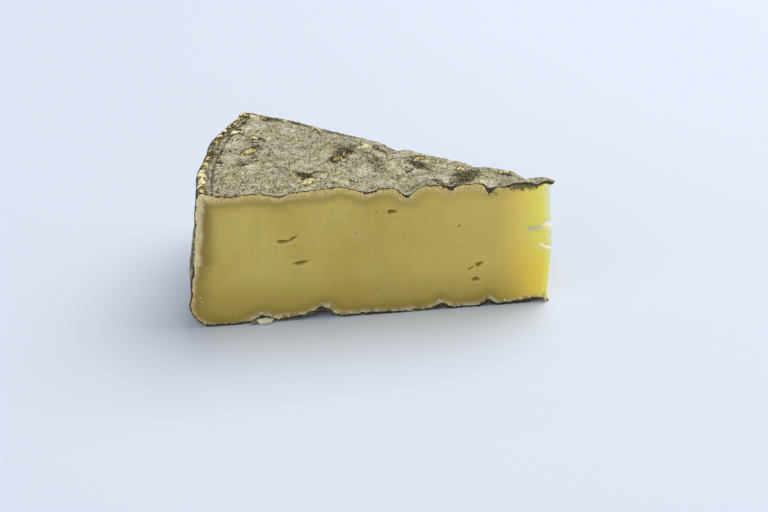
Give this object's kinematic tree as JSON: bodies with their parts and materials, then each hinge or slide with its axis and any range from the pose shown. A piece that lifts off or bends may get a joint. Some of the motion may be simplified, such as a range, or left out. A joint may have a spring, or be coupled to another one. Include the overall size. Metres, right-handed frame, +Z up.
{
  "type": "saint-nectaire cheese wedge",
  "caption": "Wedge cut from a low round of semi-soft cheese, with a mottled grey mould rind on top, rim and base, flat cut faces with small slit eyes and a torn tip. Stands on its base.",
  "frame": {"origin": "on the base, under the middle of the wedge's bounding box", "axes": "+X along the middle of the wedge towards its tip, +Z up, the near cut face towards -Y"},
  "size_m": [0.1058, 0.0612, 0.0434],
  "materials": {
    "cheese": "pale yellow semi-soft paste with a slight waxy sheen, inside a dry grey-beige mould rind"
  },
  "bodies": {
    "root": {"cheese_wedge": "cheese"}
  },
  "joints": []
}
